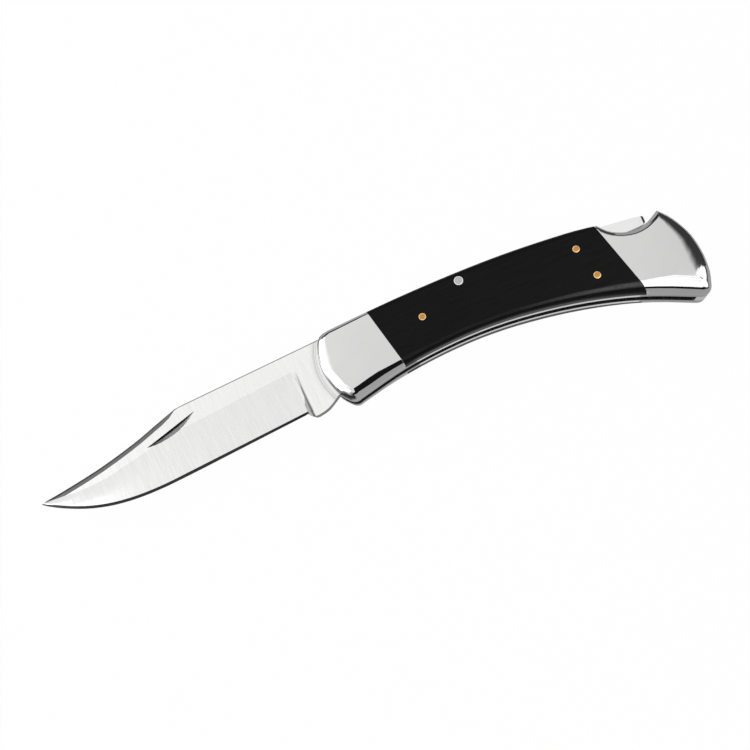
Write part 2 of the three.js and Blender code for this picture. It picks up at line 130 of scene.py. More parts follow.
# Blade: how its ground areas are told apart, by slopes in degrees, places, and shares of a normal
NICK_TILT = 11
FLAT_TILT = 1
GROUND_TILT = 5
HOLLOW_TILT = 0.7
EDGE_REACH = 0.06 * MM
PLUNGE_REACH = 4 * MM
SPINE_LEAST = 20 * MM
SPINE_SPARE = 1.6
SPINE_FACING = 0.9
NICK_FACING = -0.5
EDGE_FACING = 0.05
SWEDGE_FACING = 0.08
PLUNGE_FACING = -0.08
SWEDGE_LINE_FACING = 0.2
SWEDGE_LINE_SLOPES = (0.8, 0.97)

# Blade: painted shade and reflection, how light each ground area is painted beside the flats, and the
# slopes that the shades run between
HOLLOW_SHADES = (0.93, 0.95)
SWEDGE_SHADES = (0.12, 0.2)
SWEDGE_TILTS = (12, 24)
PLUNGE_SHADES = (0.5, 0.1)
PLUNGE_TILTS = (24, 44)
NICK_SHADES = (0.55, 0.04)
NICK_TILTS = (20, 60)
SPINE_SHADE = 0.25
EDGE_BEVEL_SHADE = 0.04
WALL_SHADE = 0.26

# Blade: the turn of its grinding lines in degrees, and its polishing arcs with painted shade beside the
# bolster, in millimetres
GRIND_TURN = -8
ARC_CENTRE = (9.6, 2, 0)
ARC_RADII = (19.4, 21.8)
ARC_RINGS = 3.2

# Bolsters: the painted shade at the foot of the nose, by slope and facing, and where painted shading
# darkens them a little
NOSE_FACING = -0.15
NOSE_WALL_SHADE = 0.06
NOSE_DARK_FROM = (50, 30)
NOSE_DARK_SPAN = 8
NOSE_SIDES = (0.5, 0.9)
NOSE_BELLY_SIDES = (0.8, 0.93)
NOSE_BELLY_TILTS = (70, 82)
FRONT_BOLSTER_RUN = (-0.008, 0.014)
REAR_BOLSTER_RUN = (0.088, 0.112)
BOLSTER_HEIGHTS = (-0.014, 0.014)

# Lock bar: the rounded end that the thumb presses, and the painted dark reflection on it
BAR_END_X = 0.0935
BAR_NOSE_X = 0.1008
BAR_NOSE_RADIUS = 1.1 * MM
BAR_NOSE_LEAST = 0.2 * MM
BAR_NOSE_CUTS = 8
BAR_END_SHADE = 0.1
BAR_END_TILTS = (6, 24)
BAR_END_FACINGS = (0.3, 0.6)

# Scales: where the painted highlight lies, by slope and by place along the belly
BELLY_FACING = -0.05
HIGHLIGHT_STARTS = (7, 13)
HIGHLIGHT_ENDS = (25, 31)
HIGHLIGHT_RUN = (0.05, 0.085)
HIGHLIGHT_LEAST = 0.12

# Pins: the gap around each, its rim with a painted highlight, and how far rim and crown rise
PIN_SIDES = 64
PIN_GAP = 0.06 * MM
PIN_RIM = 0.22 * MM
PIN_RIM_RISE = 0.035 * MM
PIN_CROWN = 0.35 * MM
PIN_CROWN_RISE = 0.015 * MM


def deselect_all():
    for item in bpy.context.selected_objects:
        item.select_set(False)


def activate(item):
    deselect_all()
    item.select_set(True)
    bpy.context.view_layer.objects.active = item


def apply_modifier(item, modifier):
    activate(item)
    bpy.ops.object.modifier_apply(modifier=modifier.name)


def edit(item):
    activate(item)
    bpy.ops.object.mode_set(mode="EDIT")
    bpy.ops.mesh.select_all(action="SELECT")


def edit_chosen(item, part, chosen):
    """Edit mode with only the chosen vertices, edges or faces selected."""
    mesh = item.data
    elements = {"vertices": mesh.vertices, "edges": mesh.edges, "faces": mesh.polygons}
    activate(item)
    bpy.context.tool_settings.mesh_select_mode = tuple(part == name for name in elements)
    bpy.ops.object.mode_set(mode="EDIT")
    bpy.ops.mesh.select_all(action="DESELECT")
    bpy.ops.object.mode_set(mode="OBJECT")
    for element in elements[part]:
        element.select = chosen(element)
    bpy.ops.object.mode_set(mode="EDIT")


def done_editing():
    bpy.ops.object.mode_set(mode="OBJECT")


def ease(low, high, value):
    """0 at low, 1 at high and smooth between, whichever of the two is larger."""
    share = min(1, max(0, (value - low) / (high - low)))
    return share * share * (3 - 2 * share)


def blend(start, end, share):
    return start + (end - start) * share


# Camera
def make_camera():
    data = bpy.data.cameras.new("camera")
    data.sensor_width = SENSOR_WIDTH
    data.lens = CAMERA_LENS
    data.clip_start = 0.01
    data.clip_end = 20
    camera = bpy.data.objects.new("camera", data)
    bpy.context.scene.collection.objects.link(camera)
    camera.location = CAMERA_PLACE
    camera.rotation_euler = [math.radians(turn) for turn in CAMERA_TURNS]
    bpy.context.scene.camera = camera


# Studio
def seen_directly(tree):
    """1 for rays from the camera, from gloss and through glass, which see the white background."""
    path = tree.nodes.new("ShaderNodeLightPath")
    total = path.outputs["Is Camera Ray"]
    for name in ("Is Glossy Ray", "Is Transmission Ray"):
        total = combined(tree, "MAXIMUM", total, path.outputs[name])
    return total


def make_world():
    world = bpy.data.worlds.new("studio")
    world.use_nodes = True
    bpy.context.scene.world = world
    tree = world.node_tree
    background = tree.nodes["Background"]
    background.inputs["Color"].default_value = (1, 1, 1, 1)
    strength = tree.nodes.new("ShaderNodeMapRange")
    strength.inputs["To Min"].default_value = AMBIENT
    strength.inputs["To Max"].default_value = BACKGROUND
    tree.links.new(seen_directly(tree), strength.inputs["Value"])
    tree.links.new(strength.outputs[0], background.inputs["Strength"])


def make_floor():
    bpy.ops.mesh.primitive_plane_add(size=FLOOR_SIZE)
    floor = bpy.context.object
    floor.name = "floor"
    paper, tree, shader = new_material("white paper", FLOOR_WHITE, FLOOR_ROUGHNESS, 0)
    glow = tree.nodes.new("ShaderNodeEmission")
    glow.inputs["Strength"].default_value = BACKGROUND
    mix = tree.nodes.new("ShaderNodeMixShader")
    tree.links.new(combined(tree, "MULTIPLY", seen_directly(tree), FLOOR_GLOW), mix.inputs["Fac"])
    tree.links.new(shader.outputs[0], mix.inputs[1])
    tree.links.new(glow.outputs[0], mix.inputs[2])
    tree.links.new(mix.outputs[0], tree.nodes["Material Output"].inputs["Surface"])
    floor.data.materials.append(paper)


def aimed(item, place, target):
    item.location = place
    item.rotation_mode = "QUATERNION"
    item.rotation_quaternion = (Vector(target) - Vector(place)).to_track_quat("-Z", "Y")


def make_lamp(name, place, target, size, watts):
    data = bpy.data.lights.new(name, "AREA")
    data.shape = "RECTANGLE"
    data.size, data.size_y = size
    data.energy = watts
    lamp = bpy.data.objects.new(name, data)
    bpy.context.scene.collection.objects.link(lamp)
    aimed(lamp, place, target)


def make_reflection(card, name, level, top_level):
    """Makes a plane show only in reflections, at an even light or one that fades to its top edge."""
    card.name = name
    felt = bpy.data.materials.new(name)
    felt.use_nodes = True
    tree = felt.node_tree
    glow = tree.nodes.new("ShaderNodeEmission")
    glow.inputs["Color"].default_value = (1, 1, 1, 1)
    glow.inputs["Strength"].default_value = level
    if top_level is not None:
        place = tree.nodes.new("ShaderNodeTexCoord")
        parts = tree.nodes.new("ShaderNodeSeparateXYZ")
        fade = tree.nodes.new("ShaderNodeMapRange")
        fade.interpolation_type = "SMOOTHSTEP"
        fade.inputs["To Min"].default_value = level
        fade.inputs["To Max"].default_value = top_level
        tree.links.new(place.outputs["UV"], parts.inputs[0])
        tree.links.new(parts.outputs["Y"], fade.inputs["Value"])
        tree.links.new(fade.outputs[0], glow.inputs["Strength"])
    tree.links.new(glow.outputs[0], tree.nodes["Material Output"].inputs["Surface"])
    card.data.materials.append(felt)
    card.visible_camera = False
    card.visible_diffuse = False
    card.visible_shadow = False
    card.visible_transmission = False


def make_card(name, run, heights, level, top_level=None):
    """An upright card over a straight run on the floor, between two heights."""
    (x0, y0), (x1, y1) = run
    bpy.ops.mesh.primitive_plane_add(size=1)
    card = bpy.context.object
    width = math.hypot(x1 - x0, y1 - y0)
    card.scale = (width, heights[1] - heights[0], 1)
    card.rotation_euler = (math.pi / 2, 0, math.atan2(y1 - y0, x1 - x0))
    card.location = ((x0 + x1) / 2, (y0 + y1) / 2, sum(heights) / 2)
    make_reflection(card, name, level, top_level)


def make_level_card(name, across, along, height, level):
    """A card lying level, over the knife or on the table."""
    bpy.ops.mesh.primitive_plane_add(size=1)
    card = bpy.context.object
    card.scale = (across[1] - across[0], along[1] - along[0], 1)
    card.location = (sum(across) / 2, sum(along) / 2, height)
    make_reflection(card, name, level, None)


def make_leaning_card(name, corner, heading):
    """A white card whose lower right corner and outer edge end the ring, the edge leaning outwards."""
    lean = math.radians(RING_END_LEAN)
    run = Vector((math.cos(math.radians(heading)), math.sin(math.radians(heading)), 0))
    upright = Vector((0, 0, 1))
    along = run * math.cos(lean) - upright * math.sin(lean)
    up = run * math.sin(lean) + upright * math.cos(lean)
    width, height = RING_END_SIZE
    bpy.ops.mesh.primitive_plane_add(size=1)
    card = bpy.context.object
    card.scale = (width, height, 1)
    card.rotation_euler = (math.pi / 2, lean, math.radians(heading))
    card.location = Vector(corner) - along * width / 2 + up * height / 2
    make_reflection(card, name, WHITE_CARD, None)


def make_ring():
    """Upright cards side by side around the butt: grey at the table, then black, then white."""
    def turn(step):
        return RING_FROM + (RING_TO - RING_FROM) * step / RING_CARDS

    def place(degrees):
        angle = math.radians(degrees)
        x = RING_CENTRE[0] + RING_RADIUS * math.cos(angle)
        y = RING_CENTRE[1] + RING_RADIUS * math.sin(angle)
        return (x, y)

    for step in range(RING_CARDS):
        run = (place(turn(step)), place(turn(step + 1)))
        share = ease(*RING_TURN, turn(step + 0.5))
        grey_top, black_top = (blend(a, b, share) for a, b in zip(RING_LEVELS_BELLY, RING_LEVELS_BUTT))
        top = blend(*RING_TOPS, ease(*RING_RISE, turn(step + 0.5)))
        make_card(f"grey ring {step}", run, (0, grey_top), GREY_CARD)
        make_card(f"black ring {step}", run, (grey_top, black_top), BLACK_FELT)
        make_card(f"white ring {step}", run, (black_top, top), WHITE_CARD)
        make_card(f"fading ring {step}", run, (top, top + RING_FADE), WHITE_CARD, BACKGROUND)
    make_leaning_card("white ring end", (*place(RING_TO), RING_LEVELS_BUTT[1]), RING_TO + 90)


def make_studio():
    make_lamp("softbox", SOFTBOX_PLACE, (0, 0, 0), SOFTBOX_SIZE, SOFTBOX_WATTS)
    make_ring()
    make_card("white left", ((-0.48, 0.147), (-0.473, -0.07)), (0.3, 1.05), WHITE_CARD)
    make_card("fading left", ((-0.265, 0.424), (-0.48, 0.147)), (0.3, 0.92), WHITE_CARD, BACKGROUND)
    make_card("grey back", ((-0.6, 0.5), (0.12, 0.5)), (0, 0.16), GREY_CARD)
    make_card("black back", ((-0.48, 0.5), (0.12, 0.5)), (0.16, 0.41), BLACK_FELT)
    make_card("grey back right", ((0.12, 0.5), (0.42, 0.5)), (0, 0.34), GREY_CARD)
    make_card("dark back right", ((0.12, 0.5), (0.42, 0.5)), (0.34, 0.66), DARK_CARD)
    make_card("dark right", ((0.42, 0.5), (0.62, 0.05)), (0, 0.4), DARK_CARD)
    make_card("fading right", ((0.42, 0.5), (0.62, 0.05)), (0.4, 1.1), DARK_CARD, BACKGROUND)
    make_card("pale front", ((-0.45, -0.3), (-0.18, -0.3)), (0, 0.285), BACKGROUND)
    make_card("grey front", ((-0.18, -0.3), (0.5, -0.3)), (0, 0.113), GREY_CARD)
    make_card("black front", ((-0.18, -0.3), (0.5, -0.3)), (0.113, 0.285), BLACK_FELT)
    make_level_card("white over the butt", (0.122, 0.4), (-0.3, 0.03), 0.55, WHITE_CARD)
    make_level_card("black over the camera", (-0.03, 0.075), (-0.3, -0.03), 0.285, BLACK_FELT)
    make_level_card("black over the front", (0.075, 0.2), (-0.3, -0.1), 0.285, BLACK_FELT)
    # Grey sheets on the table, seen only in reflections: painted shadow, the floor as if shaded by the
    # knife
    make_level_card("painted shadow sheet at the butt", (0.0915, 0.17), (-0.3, 0.5), SHEET_HEIGHT, GREY_CARD)
    make_level_card("painted shadow sheet at the blade", (-0.3, 0.021), (-0.3, 0.5), SHEET_HEIGHT, GREY_CARD)
    make_level_card("painted shadow sheet in front", (0.021, 0.0915), (-0.3, -0.03), SHEET_HEIGHT, GREY_CARD)
    make_level_card("black table at the right", (0.17, 0.6), (0, 0.5), SHEET_HEIGHT, BLACK_FELT)


# Effects that more than one finish uses
def new_effect(name, inlets, outlet):
    """An empty node group with named inputs, given as name: (kind, value), and one value put out."""
    group = bpy.data.node_groups.new(name, "ShaderNodeTree")
    for label, (kind, value) in inlets.items():
        socket = group.interface.new_socket(name=label, in_out="INPUT", socket_type=f"NodeSocket{kind}")
        socket.default_value = value
    group.interface.new_socket(name=outlet, in_out="OUTPUT", socket_type="NodeSocketFloat")
    return group, group.nodes.new("NodeGroupInput"), group.nodes.new("NodeGroupOutput")


def drawn_out_noise(tree, inlet, detail, roughness):
    """Noise on Object coordinates, drawn out and turned as the group's inputs say."""
    place = tree.nodes.new("ShaderNodeTexCoord")
    turned = tree.nodes.new("ShaderNodeMapping")
    scaled = tree.nodes.new("ShaderNodeMapping")
    noise = tree.nodes.new("ShaderNodeTexNoise")
    noise.inputs["Scale"].default_value = 1
    noise.inputs["Detail"].default_value = detail
    noise.inputs["Roughness"].default_value = roughness
    tree.links.new(place.outputs["Object"], turned.inputs["Vector"])
    tree.links.new(inlet.outputs["Turn"], turned.inputs["Rotation"])
    tree.links.new(turned.outputs[0], scaled.inputs["Vector"])
    tree.links.new(inlet.outputs["Lines a metre"], scaled.inputs["Scale"])
    tree.links.new(scaled.outputs[0], noise.inputs["Vector"])
    return noise.outputs["Fac"]


def make_grain_effect():
    """Fine lines of grinding or of wood pores, from 0 to 1."""
    inlets = {"Lines a metre": ("Vector", (1000, 1000, 1000)), "Turn": ("Vector", (0, 0, 0))}
    group, inlet, outlet = new_effect("grain lines", inlets, "Lines")
    lines = spread(group, drawn_out_noise(group, inlet, 4, 0.6), 0.3, 0.7, 0, 1)
    group.links.new(lines, outlet.inputs["Lines"])
    return group


def make_scratch_effect():
    """Sparse thin scratches: 1 in a scratch and 0 beside it."""
    inlets = {
        "Lines a metre": ("Vector", (100, 3000, 100)),
        "Turn": ("Vector", (0, 0, 0)),
        "Rarity": ("Float", 0.68),
    }
    group, inlet, outlet = new_effect("thin scratches", inlets, "Scratches")
    above = combined(group, "SUBTRACT", drawn_out_noise(group, inlet, 3, 0.5), inlet.outputs["Rarity"])
    group.links.new(spread(group, above, 0, 0.06, 0, 1), outlet.inputs["Scratches"])
    return group


def placed(tree, effect, values):
    """The effect in a material, with the material's own values."""
    node = tree.nodes.new("ShaderNodeGroup")
    node.node_tree = effects[effect]
    for name, value in values.items():
        node.inputs[name].default_value = value
    return node.outputs[0]


def grain(tree, lines, degrees=0):
    """Grain of so many lines a metre along each axis, turned in the plane of the knife."""
    return placed(tree, "grain", {"Lines a metre": lines, "Turn": (0, 0, math.radians(degrees))})


def scratches(tree, lines, degrees, rarity):
    """Scratches of so many lines a metre along each axis, fewer the nearer to 1 the rarity is."""
    turn = (0, 0, math.radians(degrees))
    return placed(tree, "scratches", {"Lines a metre": lines, "Turn": turn, "Rarity": rarity})


# Materials
def new_material(name, color, roughness, metallic):
    material = bpy.data.materials.new(name)
    material.use_nodes = True
    shader = material.node_tree.nodes["Principled BSDF"]
    shader.inputs["Base Color"].default_value = (*color, 1)
    shader.inputs["Roughness"].default_value = roughness
    shader.inputs["Metallic"].default_value = metallic
    return material, material.node_tree, shader


def spread(tree, value, low, high, out_low, out_high, smooth=False):
    """A value's range low to high spread over out_low to out_high."""
    node = tree.nodes.new("ShaderNodeMapRange")
    if smooth:
        node.interpolation_type = "SMOOTHSTEP"
    for name, number in zip(("From Min", "From Max", "To Min", "To Max"), (low, high, out_low, out_high)):
        node.inputs[name].default_value = number
    tree.links.new(value, node.inputs["Value"])
    return node.outputs[0]


def combined(tree, operation, first, second):
    node = tree.nodes.new("ShaderNodeMath")
    node.operation = operation
    for socket, value in zip(node.inputs, (first, second)):
        if isinstance(value, (int, float)):
            socket.default_value = value
        else:
            tree.links.new(value, socket)
    return node.outputs[0]


def product(tree, first, *others):
    for other in others:
        first = combined(tree, "MULTIPLY", first, other)
    return first


def tinted(tree, value, dark, light):
    """A colour between dark and light by a value from 0 to 1."""
    node = tree.nodes.new("ShaderNodeMix")
    node.data_type = "RGBA"
    for name, color in (("A", dark), ("B", light)):
        if isinstance(color, tuple):
            node.inputs[name].default_value = (*color, 1)
        else:
            tree.links.new(color, node.inputs[name])
    tree.links.new(value, node.inputs["Factor"])
    return node.outputs["Result"]


def bumped(tree, shader, height, distance, strength=1):
    bump = tree.nodes.new("ShaderNodeBump")
    bump.inputs["Distance"].default_value = distance
    bump.inputs["Strength"].default_value = strength
    tree.links.new(height, bump.inputs["Height"])
    tree.links.new(bump.outputs[0], shader.inputs["Normal"])


def attribute(tree, name):
    node = tree.nodes.new("ShaderNodeAttribute")
    node.attribute_name = name
    return node.outputs["Fac"]


def grey(level):
    return (level, level, level * 0.995)


def brushed_metal(name, dark, light, roughness, lines_a_metre, depth=0, shaded=False):
    material, tree, shader = new_material(name, light, roughness[0], 1)
    lines = grain(tree, lines_a_metre)
    color = tinted(tree, lines, dark, light)
    # Painted shade and reflection, as painted on the piece by its shade function
    if shaded:
        color = tinted(tree, attribute(tree, "painted_light_and_shade"), (0, 0, 0), color)
    tree.links.new(color, shader.inputs["Base Color"])
    tree.links.new(spread(tree, lines, 0, 1, *roughness), shader.inputs["Roughness"])
    if depth:
        bumped(tree, shader, lines, depth)
    return material


def arcs_and_painted_shade(tree):
    """Fine polishing arcs around a point behind the pivot, in a narrow band beside the bolster, which
    darken the steel there as painted shade and reflection of the bolster.
    """
    place = tree.nodes.new("ShaderNodeTexCoord")
    flat = tree.nodes.new("ShaderNodeMapping")
    flat.inputs["Scale"].default_value = (1 / MM, 1 / MM, 0)
    away = tree.nodes.new("ShaderNodeVectorMath")
    away.operation = "DISTANCE"
    away.inputs[1].default_value = ARC_CENTRE
    tree.links.new(place.outputs["Object"], flat.inputs["Vector"])
    tree.links.new(flat.outputs[0], away.inputs[0])
    radius = away.outputs["Value"]
    rings = tree.nodes.new("ShaderNodeTexNoise")
    rings.noise_dimensions = "1D"
    rings.inputs["Scale"].default_value = ARC_RINGS
    rings.inputs["Detail"].default_value = 2
    tree.links.new(radius, rings.inputs["W"])
    inner, outer = ARC_RADII
    rising = spread(tree, radius, inner - 0.5, inner + 0.4, 0, 1, smooth=True)
    falling = spread(tree, radius, inner + 0.6, outer, 1, 0, smooth=True)
    return product(tree, rising, falling, spread(tree, rings.outputs["Fac"], 0.42, 0.62, 0.1, 1))


def make_blade_steel():
    """Satin steel: cross-ground, with polishing arcs and painted shade beside the bolster, and painted
    shade and reflection on its ground areas.
    """
    material, tree, shader = new_material("ground blade steel", grey(0.88), 0.2, 1)
    fine = grain(tree, (2600, 110, 110), GRIND_TURN)
    broad = grain(tree, (900, 40, 40), GRIND_TURN)
    marks = scratches(tree, (120, 3400, 120), 31, 0.7)
    level = product(
        tree,
        spread(tree, fine, 0, 1, 0.92, 1),
        spread(tree, broad, 0, 1, 0.97, 1),
        spread(tree, marks, 0, 1, 1, 0.96),
        # Polishing arcs with painted shade and reflection of the bolster, beside it
        spread(tree, arcs_and_painted_shade(tree), 0, 1, 1, 0.6),
        attribute(tree, "painted_light_and_shade"),
    )
    tree.links.new(tinted(tree, level, (0, 0, 0), grey(0.9)), shader.inputs["Base Color"])
    tree.links.new(spread(tree, fine, 0, 1, 0.17, 0.24), shader.inputs["Roughness"])
    bumped(tree, shader, fine, 0.00012 * MM)
    return material


def make_bolster_polish():
    """Mirror polish with a few hairline marks from handling, painted a little darker towards the butt and
    the belly as painted shading, and with the painted shade of the nose's foot.
    """
    material, tree, shader = new_material("mirror polished bolster", grey(0.64), 0.05, 1)
    haze = grain(tree, (220, 90, 90), 55)
    marks = scratches(tree, (2600, 70, 300), 24, 0.72)
    place = tree.nodes.new("ShaderNodeTexCoord")
    parts = tree.nodes.new("ShaderNodeSeparateXYZ")
    tree.links.new(place.outputs["Object"], parts.inputs[0])
    level = product(
        tree,
        spread(tree, haze, 0, 1, 0.97, 1),
        spread(tree, marks, 0, 1, 1, 0.97),
        attribute(tree, "painted_light_and_shade"),
        # Painted shading: each bolster a little darker towards the butt and towards the belly
        spread(tree, parts.outputs["X"], *FRONT_BOLSTER_RUN, 1, 0.93),
        spread(tree, parts.outputs["X"], *REAR_BOLSTER_RUN, 1, 0.91),
        spread(tree, parts.outputs["Y"], *BOLSTER_HEIGHTS, 0.96, 1),
    )
    tree.links.new(tinted(tree, level, (0, 0, 0), grey(0.73)), shader.inputs["Base Color"])
    tree.links.new(spread(tree, haze, 0, 1, 0.035, 0.075), shader.inputs["Roughness"])
    return material


def make_pin_metal(name, crown, rim_highlight, roughness):
    """Pin metal, ground flat in the middle, with a pale painted highlight on the rim."""
    material, tree, shader = new_material(name, crown, roughness[0], 1)
    turned = grain(tree, (2600, 2600, 300))
    middle = tinted(tree, turned, tuple(0.86 * part for part in crown), crown)
    tree.links.new(tinted(tree, attribute(tree, "painted_light_and_shade"), middle, rim_highlight), shader.inputs["Base Color"])
    tree.links.new(spread(tree, turned, 0, 1, *roughness), shader.inputs["Roughness"])
    return material


def make_black_wood():
    """Black-stained wood: long pores, thin scratches and a grey painted highlight on the belly's edge."""
    material, tree, shader = new_material("stained black wood", (0.006, 0.006, 0.0065), 0.35, 0)
    pores = grain(tree, (130, 2600, 2600), -4)
    specks = grain(tree, (900, 2200, 900), 20)
    marks = scratches(tree, (160, 3600, 160), -38, 0.7)
    wood = tinted(tree, pores, (0.003, 0.003, 0.0033), (0.0068, 0.0066, 0.007))
    marked = tinted(tree, spread(tree, marks, 0, 1, 0, 0.5), wood, (0.03, 0.03, 0.031))
    # Painted highlight on the belly's edge, broken up by specks
    painted_highlight = product(tree, attribute(tree, "painted_light_and_shade"), spread(tree, specks, 0, 1, 0.6, 1))
    tree.links.new(tinted(tree, painted_highlight, marked, (0.1, 0.1, 0.102)), shader.inputs["Base Color"])
    tree.links.new(spread(tree, pores, 0, 1, 0.3, 0.44), shader.inputs["Roughness"])
    shader.inputs["Specular IOR Level"].default_value = 0.08
    bumped(tree, shader, pores, 0.01 * MM, 0.4)
    return material


def make_materials():
    """Every material by the record's name for its slot."""
    edge_lines = (400, 6000, 9000)
    dull_lines = (3000, 3000, 3000)
    bronze_lines = (3000, 3000, 500)
    return {
        "blade_steel": make_blade_steel(),
        "bolster_polish": make_bolster_polish(),
        "black_wood": make_black_wood(),
        "liner_steel": brushed_metal(
            "satin liner steel", grey(0.42), grey(0.52), (0.14, 0.22), edge_lines, 0.0003 * MM
        ),
        "spring_steel": brushed_metal(
            "satin spring steel", grey(0.78), grey(0.86), (0.14, 0.2), edge_lines, shaded=True
        ),
        "dark_steel": brushed_metal("dark steel", grey(0.2), grey(0.3), (0.3, 0.45), dull_lines),
        "bushing_bronze": brushed_metal(
            "bushing bronze", (0.4, 0.24, 0.1), (0.5, 0.3, 0.13), (0.3, 0.4), bronze_lines
        ),
        "pin_brass": make_pin_metal("polished brass", (0.6, 0.27, 0.06), (0.85, 0.62, 0.36), (0.16, 0.24)),
        "pin_steel": make_pin_metal("turned pin steel", grey(0.5), grey(0.85), (0.2, 0.3)),
    }


# Pieces
def finished_copy(node, name, body, slot, broken=0, smooth=SMOOTH_ANGLE, shape=None, shade=None):
    """A copy of a CAD node, its triangles merged into whole faces, and its crisp edges broken if asked."""
    piece = bpy.data.objects.new(name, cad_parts[node].data.copy())
    bpy.context.scene.collection.objects.link(piece)
    piece.data.materials.clear()
    edit(piece)
    bpy.ops.mesh.customdata_custom_splitnormals_clear()
    bpy.ops.mesh.remove_doubles(threshold=WELD)
    bpy.ops.mesh.dissolve_limited(angle_limit=FLAT_ANGLE)
    done_editing()
    if shape:
        shape(piece)
    if broken:
        break_edges(piece, broken)
    activate(piece)
    bpy.ops.object.shade_smooth_by_angle(angle=smooth)
    even = piece.modifiers.new("even shading", "WEIGHTED_NORMAL")
    even.keep_sharp = True
    even.weight = 100
    apply_modifier(piece, even)
    if shade:
        paint_light_and_shade(piece, shade)
    finish_piece(piece, body, slot, node)


def normals_beside(mesh):
    """The normals of the faces on each edge, by the edge's two vertices."""
    beside = {}
    for face in mesh.polygons:
        for key in face.edge_keys:
            beside.setdefault(key, []).append(face.normal.copy())
    return beside


def break_edges(piece, width):
    """Breaks the crisp edges of a piece, but for those that lie against a liner."""
    beside = normals_beside(piece.data)

    def crisp(edge):
        normals = beside.get(tuple(sorted(edge.vertices)), [])
        folded = len(normals) == 2 and normals[0].angle(normals[1], 0) > CRISP_ANGLE
        return folded and max(abs(piece.data.vertices[i].co.z - MID_PLANE) for i in edge.vertices) > SEAM

    edit_chosen(piece, "edges", crisp)
    bpy.ops.mesh.bevel(offset=width, offset_type="OFFSET", segments=2, affect="EDGES", clamp_overlap=True)
    done_editing()


def finish_piece(piece, body, slot, *nodes):
    piece.data.materials.append(looks[slot])
    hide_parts(*nodes)
    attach(piece, body)


def paint_light_and_shade(piece, shade):
    """Keeps a number of painted light and shade at each corner of each face, which the materials read."""
    mesh = piece.data
    painted_light_and_shade = mesh.attributes.new("painted_light_and_shade", "FLOAT", "CORNER")
    for face in mesh.polygons:
        for corner in face.loop_indices:
            place = mesh.vertices[mesh.loops[corner].vertex_index].co
            painted_light_and_shade.data[corner].value = shade(mesh, face, place, mesh.corner_normals[corner].vector)


def tilt_of(normal):
    """How far a surface leans from lying level, in degrees."""
    return math.degrees(math.acos(min(1, abs(normal.z))))


def facing(part, tilt):
    """How far a leaning normal turns to one side, of which part is its share: from -1 to 1."""
    return part / max(0.01, math.sin(math.radians(tilt)))


def nick_axis(x):
    return NICK_END[1] + NICK_SLOPE * (x - NICK_END[0])


def in_nick(face, tilt):
    middle = face.center
    sunk = face.normal.z > NICK_FACING and middle.z < MID_PLANE + NICK_TOP and tilt > NICK_TILT
    beside = NICK_RUN[0] < middle.x < NICK_RUN[1] and abs(middle.y - nick_axis(middle.x)) < NICK_CLEAR
    return sunk and beside


def on_edge_bevel(mesh, face):
    at_edge = any(abs(mesh.vertices[i].co.z - MID_PLANE) < EDGE_REACH for i in face.vertices)
    return at_edge and face.normal.y < EDGE_FACING and face.center.x < PLUNGE_X + 1 * MM


def on_spine_line(mesh, face, tilt):
    along = [mesh.vertices[i].co.x for i in face.vertices]
    length = max(along) - min(along)
    return tilt < FLAT_TILT and length > SPINE_LEAST and face.area < SPINE_SPARE * SPINE_LINE * length


def blade_shade(mesh, face, place, normal):
    """Satin on the flats; painted shade and reflection elsewhere: a little darker in the hollow, and dark
    on the nick, edge bevel, spine line, swedge, walls and steep plunge.
    """
    flat = face.normal
    tilt = tilt_of(flat)
    ground = tilt > GROUND_TILT
    if in_nick(face, tilt):
        return blend(*NICK_SHADES, ease(*NICK_TILTS, tilt))
    if on_edge_bevel(mesh, face):
        return EDGE_BEVEL_SHADE
    if on_spine_line(mesh, face, tilt):
        return SPINE_SHADE
    if flat.y > SWEDGE_FACING and ground:
        return blend(*SWEDGE_SHADES, ease(*SWEDGE_TILTS, tilt))
    if tilt > WALL_TILT:
        return WALL_SHADE
    if flat.x < PLUNGE_FACING and ground and abs(face.center.x - PLUNGE_X) < PLUNGE_REACH:
        return blend(*PLUNGE_SHADES, ease(*PLUNGE_TILTS, tilt))
    if tilt > HOLLOW_TILT and face.center.x < PLUNGE_X:
        return blend(*HOLLOW_SHADES, ease(PLUNGE_X, TIP_X, place.x))
    return 1


def trim_blade(piece):
    """Eases the inner line of the swedge and sets off a thin line along the spine, where a painted
    reflection draws a dark line.
    """
    beside = normals_beside(piece.data)

    def at_swedge(edge):
        normals = beside.get(tuple(sorted(edge.vertices)), [])
        ends = [piece.data.vertices[i].co for i in edge.vertices]
        if len(normals) != 2 or ends[0].y < nick_axis(ends[0].x) + NICK_CLEAR:
            return False
        if min(end.x for end in ends) < SWEDGE_RUN[0] or max(end.x for end in ends) > SWEDGE_RUN[1]:
            return False
        sloped, level = sorted(normals, key=lambda normal: abs(normal.z))
        on_slope = SWEDGE_LINE_SLOPES[0] < abs(sloped.z) < SWEDGE_LINE_SLOPES[1]
        return on_slope and sloped.y > SWEDGE_LINE_FACING and abs(level.z) > LEVEL

    edit_chosen(piece, "edges", at_swedge)
    bpy.ops.mesh.bevel(offset=SWEDGE_EASED, offset_type="OFFSET", segments=1, affect="EDGES")
    done_editing()
    upward = (face for face in piece.data.polygons if face.normal.y > SPINE_FACING)
    spine = max(upward, key=lambda face: face.area)
    normal = spine.normal.copy()
    place = spine.center - normal * SPINE_LINE
    edit_chosen(piece, "faces", lambda face: abs(face.normal.z) > LEVEL)
    bpy.ops.mesh.bisect(plane_co=place, plane_no=normal)
    done_editing()


